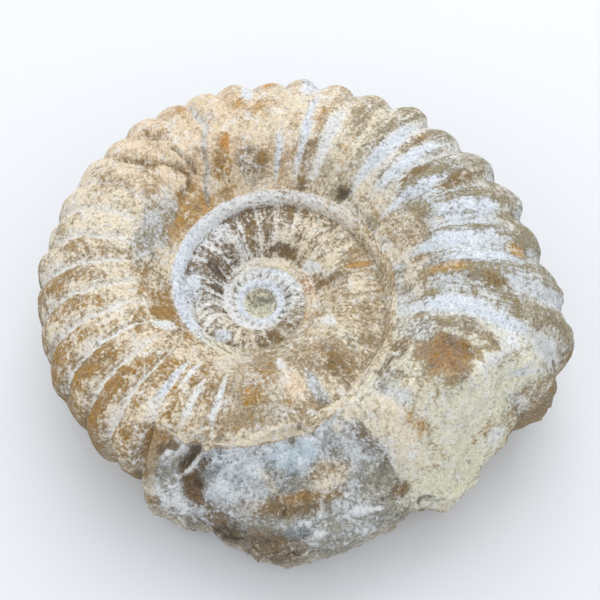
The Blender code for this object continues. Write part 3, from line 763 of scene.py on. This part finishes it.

# Stains that follow the form, and painted shade: strength and look, then the spans of each measure
# over which they come up. The measures are the rib, the section, the phase from one furrow to the
# next, the depth in the furrow, and parts of the coil as no or yes. Without a look, only the cover
# changes. The blue-grey side of the early ribs and the slate grey in the deep outer furrows are
# painted shade.
SHELL_RIBS, INNER_RIBS, SHELL, INNER = (-0.5, 27), (-46, -14), ("shell", 0, 1), ("inner", 0, 1)
EARLY = (SHELL, ("rib", 11, 7), ("section", 1.15, 1.5))
LATE = (SHELL, ("rib", 14, 20), ("section", 1.1, 1.4))
RIB_STAINS_AND_SHADE = (
    # Painted shade: a blue-grey band on the lower side of each early rib, the side that faces away from the
    # light.
    (0.3, ("drab blue", 0.6, 0.6), (*EARLY, ("phase", 0, 0.1), ("phase", 0.35, 0.15))),
    (-0.16, (), (SHELL, ("phase", 0.4, 0.5), ("rib", 8, 5), ("section", 1.6, 2.0))),
    (0.85, ("drab white", 0.95, 0.2), (*EARLY, ("furrow", 0.6, 0.85))),
    (0.2, (), (*LATE, ("furrow", 0.15, 0.6))),
    (-0.08, (), LATE),
    # Painted shade: slate grey in the deep furrows near the outside of the later ribs.
    (0.6, ("slate mist", 0.62, 0.5),
     (SHELL, ("furrow", 0.3, 0.8), ("section", 1.9, 2.3), ("rib", 13, 16))),
    (0.16, (), (INNER, ("furrow", 0.1, 0.7))),
    (-0.064, (), (INNER,)),
    (0.8, ("brown bone", 0.34, 0.2), (("whole", 0, 1), ("section", 2.35, 2.9))),
)
FRONT_STAINS = ((0.9, ("stone bone", 0.3, 0.0), (("section", 2.75, 3.0), ("rib", 29, 30.5))),)
UNDER_SECTIONS = (("section", 0.2, -0.2), ("section", 3.1, 3.6))
UNDER_STAINS = (
    *((1, ("tan bone", 0.42, 0.2), (span,)) for span in UNDER_SECTIONS),
    *((0.7, ("stone bone", 0.42, 0.0), (span, ("rib", 29, 30.5))) for span in UNDER_SECTIONS),
)


def linear(hex_colour):
    """An sRGB hex value as linear red, green, blue and full alpha."""
    parts = [int(hex_colour[k : k + 2], 16) / 255 for k in (1, 3, 5)]
    return [p / 12.92 if p <= 0.04045 else ((p + 0.055) / 1.055) ** 2.4 for p in parts] + [1.0]


def look(colours, *shares):
    """Earth colour and chalk colour, given by their two names, and the shares as one row."""
    earth, chalk = colours.split()
    return linear(EARTHS[earth])[:3] + linear(CHALKS[chalk])[:3] + list(shares)


def along_coil(table, rib):
    """Looks a table of rib, colours and shares up by rib, with straight runs between rows."""
    stops = [row[0] for row in table]
    rows = np.array([look(*row[1:]) for row in table])
    return np.stack([np.interp(rib, stops, column) for column in rows.T], axis=-1)


def toward(values, target, weight):
    """Moves each row of values towards the target by its weight."""
    return values + (np.array(target) - values) * weight[:, None]


def span_stains_and_shade(values, measures, table):
    """Moves the values towards each look of a table, or adds to the cover, by the strength times a
    smooth step for each of its spans."""
    for strength, colours, spans in table:
        steps = [ramp(measures[name], start, end) for name, start, end in spans]
        weight = strength * np.prod(steps, axis=0)
        if colours:
            values = toward(values, look(*colours), weight)
        else:
            values[:, 6] += weight
    return values


def hub_stains_and_shade(values, section, place):
    """White ground, olive painted shade in the gaps between the teeth, a pale rim and an ivory dish,
    each over the last: smooth steps of the radius, and a flat-topped bell for the rim."""
    angle, radius = polar(place)
    tooth, here = teeth(angle, radius)
    rim = np.exp(-(((radius - RIM_RADIUS) / RIM_STAIN) ** 4))
    upper = section > 0
    for weight, *colours in (
        (ramp(radius, *HUB_EDGE) * upper, "drab white", 0.8),
        # Painted shade: olive in the gaps between the teeth, where their shadow falls.
        (GAP_SHADE_STRENGTH * here * (1 - tooth) * upper, "olive bone", 0.35),
        (rim * upper, "drab blue", 0.9),
        (ramp(radius, *DISH_EDGE), "drab ivory", 0.66),
    ):
        values = toward(values, look(*colours, 0.0), weight)
    return values


def stains_and_painted_light(rib, section, place):
    """Earth, chalk, cover and streak share of every vertex, and its share of the wall: the flank's
    colours, and over them in turn the ribs, walls, hub, stains, front, marks, cracks and underside.
    Some colours of the ribs, the hub and the marks are painted shade, and one mark is a painted
    highlight. Noise moves the outlines of walls, stains and marks."""
    count = wavy_count(rib, section, place)
    measures = {
        "rib": rib, "section": section, "phase": count - np.floor(count),
        "furrow": 1 - rib_profile(count), "shell": (rib > SHELL_RIBS[0]) & (rib < SHELL_RIBS[1]),
        "inner": (rib > INNER_RIBS[0]) & (rib < INNER_RIBS[1]), "whole": rib < SHELL_RIBS[1],
    }
    values = span_stains_and_shade(along_coil(FLANK_COLOURS, rib), measures, RIB_STAINS_AND_SHADE)
    wall = ramp(section + layered(place, WALL_RAGGED), *WALL_FADE)
    wall = wall * (1 - ramp(rib, *SEAM_LEDGE_RIBS) * ramp(section, *SEAM_LEDGE_SECTIONS))
    walls = np.hstack([along_coil(WALL_COLOURS, rib), values[:, 7:]])
    values = hub_stains_and_shade(toward(values, walls, wall), section, place)

    wander_rib = layered(place, RIB_WANDER)
    wander_section = layered(place, SECTION_WANDER)
    for centre, middle, width, length, *colours in STAINS:
        weight = bump(rib + wander_rib * width, section + wander_section, centre, middle, width, length)
        values = toward(values, look(*colours, 0.2), STAIN_STRENGTH * ramp(weight, *STAIN_EDGE))
    values = span_stains_and_shade(values, measures, FRONT_STAINS)
    moved = place + np.array(MARK_WANDER) * np.stack([wander_rib, wander_section, 0 * rib], axis=-1)
    bare = ramp(rib, *MARK_RIBS) * ramp(section, *MARK_SECTIONS)
    for mark in BREAK_MARKS:
        values = toward(values, look(*mark[6:], 0.1), MARK_STRENGTH * mark_share(moved, mark) * bare)
    for half_width, _, *colours, corners in CRACKS:
        weight = CRACK_STRENGTH * crack_depth(rib, section, place, half_width, corners)
        values = toward(values, look(*colours, 0.0), weight)
    return span_stains_and_shade(values, measures, UNDER_STAINS), wall


def streak_place(rib, section, radius):
    """Where the streaks lie, in millimetres: along the coil, as the sum of the steps between ribs at
    about the flank's radius, shifted as the ribs lean, and across it."""
    step = TURN / RIBS_PER_WHORL * np.interp(rib, STREAK_RIBS, STREAK_RADII)
    order = np.argsort(rib)
    run = np.zeros_like(rib)
    run[order] = np.cumsum(np.diff(rib[order], prepend=rib.min()) * step[order])
    slope = step * (rib_count(rib, np.abs(section)) - np.where(rib < 0, rib_count(rib, 2.0), rib))
    return np.stack([run + slope, np.sign(section + 0.01) * radius, 0 * rib], axis=-1)


stain_and_light_values, wall_share = stains_and_painted_light(ribs, sections, points)
streaks = streak_place(ribs, sections, polar(points)[1])
opaque = np.ones((len(points), 1))
for name, kind, values in (
    ("earth", "FLOAT_COLOR", np.hstack([stain_and_light_values[:, 0:3], opaque])),
    ("chalk", "FLOAT_COLOR", np.hstack([stain_and_light_values[:, 3:6], opaque])),
    ("cover", "FLOAT", np.clip(stain_and_light_values[:, 6], *COVER_RANGE)),
    ("streaky", "FLOAT", stain_and_light_values[:, 7]),
    ("wall", "FLOAT", wall_share),
    ("streak_place", "FLOAT_VECTOR", streaks),
):
    part = {"FLOAT_COLOR": "color", "FLOAT": "value", "FLOAT_VECTOR": "vector"}[kind]
    attribute = mesh.attributes.new(name, kind, "POINT")
    attribute.data.foreach_set(part, values.astype(np.float32).ravel())

# The limestone
# Weathered limestone, broken and rain-worn: a dull, dry surface whose chalk lies in ragged flecks
# over the stained rock, with dark pits and a fine grain that catch the light.
ROCK_ROUGHNESS = 0.9
BUMP_STRENGTH, BUMP_DEPTH = 0.7, 0.35
CHALK_HEIGHT, DUST_HEIGHT, PIT_HEIGHT = 0.5, 0.7, 0.8
STREAK_WIDTH, STREAK_LENGTH, STREAK_DETAIL, STREAK_ROUGHNESS = 1.2, 14.0, 5, 0.68
FLECK_SHARE, COVER_GAIN, FLECK_SOFTNESS = 0.46, 0.36, 0.06
LIME_COLOUR, CLAY_COLOUR = "#EDF0F3", "#8D8A84"
RUST_SATURATION, RUST_VALUE = 1.32, 1.08

# Clouds of the stone: width of the largest in millimetres, detail and roughness.
CLOUDS = {
    "blotch": (5.0, 8, 0.72), "fleck": (1.3, 4, 0.75), "broad": (15.0, 3, 0.6), "fine": (0.8, 3, 0.65),
    "cloud": (9.0, 5, 0.65), "pit": (1.6, 4, 0.7), "rust": (3.2, 5, 0.7), "clay": (6.0, 5, 0.7),
    "lime": (4.0, 5, 0.7), "speck": (1.1, 3, 0.7), "dust": (0.8, 4, 0.7),
}

# Smooth steps over a cloud: the cloud, where the step starts and ends, its first and last value.
STEPS = {
    "drift": ("broad", 0.3, 0.7, -0.05, 0.05), "grain": ("fine", 0.3, 0.7, 0.56, 1.28),
    "tone": ("cloud", 0.3, 0.7, 0.88, 1.12), "pits": ("pit", 0.57, 0.65, 1.0, 0.55),
    "rust": ("rust", 0.52, 0.66, 0.0, 1.0), "clay": ("clay", 0.52, 0.64, 0.0, 0.4),
    "chalk grain": ("fine", 0.3, 0.7, 0.76, 1.1), "lime": ("lime", 0.5, 0.62, 0.0, 0.5),
    "specks": ("speck", 0.56, 0.64, 1.0, 0.5),
}


def add_node(tree, kind, settings=(), inputs=()):
    """Adds a node, with its own settings, and sets or links each input named."""
    node = tree.nodes.new("ShaderNode" + kind)
    for name, value in dict(settings).items():
        setattr(node, name, value)
    for name, value in dict(inputs).items():
        if isinstance(value, bpy.types.NodeSocket):
            tree.links.new(value, node.inputs[name])
        else:
            node.inputs[name].default_value = value
    return node.outputs


limestone = bpy.data.materials.new("weathered limestone")
limestone.use_nodes = True
tree = limestone.node_tree
shader = tree.nodes["Principled BSDF"]
field = {
    name: add_node(tree, "Attribute", {"attribute_name": name})
    for name in ("earth", "chalk", "cover", "streaky", "wall", "streak_place")
}
place = add_node(tree, "TexCoord")["Object"]

value = {}
for name, (size, detail, roughness) in CLOUDS.items():
    noise = {"Vector": place, "Scale": 1 / (size * MM), "Detail": detail, "Roughness": roughness}
    value[name] = add_node(tree, "TexNoise", {}, noise)["Fac"]
for name, (cloud, start, end, first, last) in STEPS.items():
    step = {"Value": value[cloud], "From Min": start, "From Max": end, "To Min": first, "To Max": last}
    value[name] = add_node(tree, "MapRange", {"interpolation_type": "SMOOTHSTEP"}, step)["Result"]

# Where chalk lies: blotches, drawn out along the ribs where the stone is streaky and along the
# coil on the walls, then finer flecks, moved up or down by the cover of chalk.
pattern = value["blotch"]
for share, along, across in (
    ("streaky", STREAK_WIDTH, STREAK_LENGTH), ("wall", STREAK_LENGTH, STREAK_WIDTH),
):
    drawn = {"Vector": field["streak_place"]["Vector"], "Scale": (MM / along, MM / across, 1)}
    drawn = add_node(tree, "Mapping", {}, drawn)["Vector"]
    noise = {"Vector": drawn, "Scale": 1 / MM}
    noise.update(Detail=STREAK_DETAIL, Roughness=STREAK_ROUGHNESS)
    streak = add_node(tree, "TexNoise", {}, noise)["Fac"]
    pattern = add_node(tree, "Mix", {}, {0: field[share]["Fac"], 2: pattern, 3: streak})[0]
pattern = add_node(tree, "Mix", {}, {0: FLECK_SHARE, 2: pattern, 3: value["fleck"]})[0]
lean = {0: field["cover"]["Fac"], 1: COVER_GAIN, 2: value["drift"]}
lean = add_node(tree, "Math", {"operation": "MULTIPLY_ADD"}, lean)[0]
pattern = add_node(tree, "Math", {"operation": "ADD"}, {0: pattern, 1: lean})[0]
even = (1 + COVER_GAIN) / 2
step = {"Value": pattern, "From Min": even - FLECK_SOFTNESS, "From Max": even + FLECK_SOFTNESS}
chalky = add_node(tree, "MapRange", {"interpolation_type": "SMOOTHSTEP"}, step)["Result"]
chalky = add_node(tree, "Math", {"operation": "MULTIPLY"}, {0: chalky, 1: value["specks"]})[0]

# The colours: rust makes the stained rock stronger and clay greys it, lime whitens the chalk, and
# the grain and the pits darken both.
rust = {"Saturation": RUST_SATURATION, "Value": RUST_VALUE, "Fac": value["rust"]}
rust["Color"] = field["earth"]["Color"]
colour = {
    "earth": add_node(tree, "HueSaturation", {}, rust)["Color"],
    "chalk": field["chalk"]["Color"],
    "clay": linear(CLAY_COLOUR),
    "lime": linear(LIME_COLOUR),
}
for name, blend, share, first, second in (
    ("earth", "MIX", value["clay"], "earth", "clay"),
    ("earth", "MULTIPLY", 1.0, "earth", value["grain"]),
    ("earth", "MULTIPLY", 1.0, "earth", value["tone"]),
    ("chalk", "MIX", value["lime"], "chalk", "lime"),
    ("chalk", "MULTIPLY", 1.0, "chalk", value["chalk grain"]),
    ("stone", "MIX", chalky, "earth", "chalk"),
    ("stone", "MULTIPLY", 1.0, "stone", value["pits"]),
):
    mix = {0: share, 6: colour[first], 7: colour.get(second, second)}
    colour[name] = add_node(tree, "Mix", {"data_type": "RGBA", "blend_type": blend}, mix)[2]
tree.links.new(colour["stone"], shader.inputs["Base Color"])
shader.inputs["Roughness"].default_value = ROCK_ROUGHNESS

# The height of the grain: chalk stands on the rock, dust lies on both, and the pits go in.
height = 0.0
for part, weight in (
    (chalky, CHALK_HEIGHT), (value["dust"], DUST_HEIGHT), (value["pits"], PIT_HEIGHT),
):
    layer = {0: part, 1: weight, 2: height}
    height = add_node(tree, "Math", {"operation": "MULTIPLY_ADD"}, layer)[0]
bumps = {"Strength": BUMP_STRENGTH, "Distance": BUMP_DEPTH * MM, "Height": height}
tree.links.new(add_node(tree, "Bump", {}, bumps)["Normal"], shader.inputs["Normal"])
mesh.materials.append(limestone)

# The floor
# The stone lies on a plain board, painted a dull pale grey, that reaches past the edges of the
# picture and takes the stone's shadow. Its size is in metres.
FLOOR_SIZE, FLOOR_COLOUR, FLOOR_ROUGHNESS = 3.0, "#E4E7EB", 0.6
floor_mesh = bpy.data.meshes.new("floor")
half = FLOOR_SIZE / 2
floor_corners = [(-half, -half, 0), (half, -half, 0), (half, half, 0), (-half, half, 0)]
floor_mesh.from_pydata(floor_corners, [], [(0, 1, 2, 3)])
floor = bpy.data.objects.new("floor", floor_mesh)
scene.collection.objects.link(floor)
pale = bpy.data.materials.new("pale painted board")
pale.use_nodes = True
paint = pale.node_tree.nodes["Principled BSDF"].inputs
paint["Base Color"].default_value = linear(FLOOR_COLOUR)
paint["Roughness"].default_value = FLOOR_ROUGHNESS
floor_mesh.materials.append(pale)

# The light
# Soft daylight from all round, and a broad window panel above and behind the stone. The colours
# are shown as they are, without a film curve. Places and sizes are in metres.
SKY_COLOUR, SKY_STRENGTH = "#F6F8FB", 0.99
PANEL_PLACE, PANEL_SIZE, PANEL_POWER = (0.1, 1.15, 1.5), 1.5, 14
scene.view_settings.view_transform = "Standard"
world = bpy.data.worlds.new("soft room light")
scene.world = world
world.use_nodes = True
sky = world.node_tree.nodes["Background"].inputs
sky["Color"].default_value = linear(SKY_COLOUR)
sky["Strength"].default_value = SKY_STRENGTH
panel_light = bpy.data.lights.new("window panel", "AREA")
panel_light.shape = "SQUARE"
panel_light.size = PANEL_SIZE
panel_light.energy = PANEL_POWER
panel = bpy.data.objects.new("window panel", panel_light)
panel.location = PANEL_PLACE
panel.rotation_euler = (-panel.location).to_track_quat("-Z", "Y").to_euler()
scene.collection.objects.link(panel)

# The camera
# It looks down on the coil from the front at the photograph's angle, from about 41 cm away, with
# its view a little right of the coil's axis and above it. The picture's width and the focal length
# are in pixels, the rest in millimetres.
PICTURE_WIDTH, FOCAL_LENGTH, NEAREST = 600, 1100, 10
CAMERA_ELEVATION = math.radians(64.07)
CAMERA_DISTANCE, CAMERA_RIGHT, CAMERA_UP = 413.6, 14.8, 3.1
pole = Vector(shift)
back = Vector((0, -math.cos(CAMERA_ELEVATION), math.sin(CAMERA_ELEVATION)))
upwards = Vector((0, math.sin(CAMERA_ELEVATION), math.cos(CAMERA_ELEVATION)))
camera_data = bpy.data.cameras.new("camera")
camera_data.angle = 2 * math.atan(PICTURE_WIDTH / 2 / FOCAL_LENGTH)
camera_data.clip_start = NEAREST * MM
camera = bpy.data.objects.new("camera", camera_data)
camera_place = pole + CAMERA_DISTANCE * back + CAMERA_RIGHT * Vector((1, 0, 0)) + CAMERA_UP * upwards
camera.location = camera_place * MM
camera.rotation_euler = (-back).to_track_quat("-Z", "Y").to_euler()
scene.collection.objects.link(camera)
scene.camera = camera
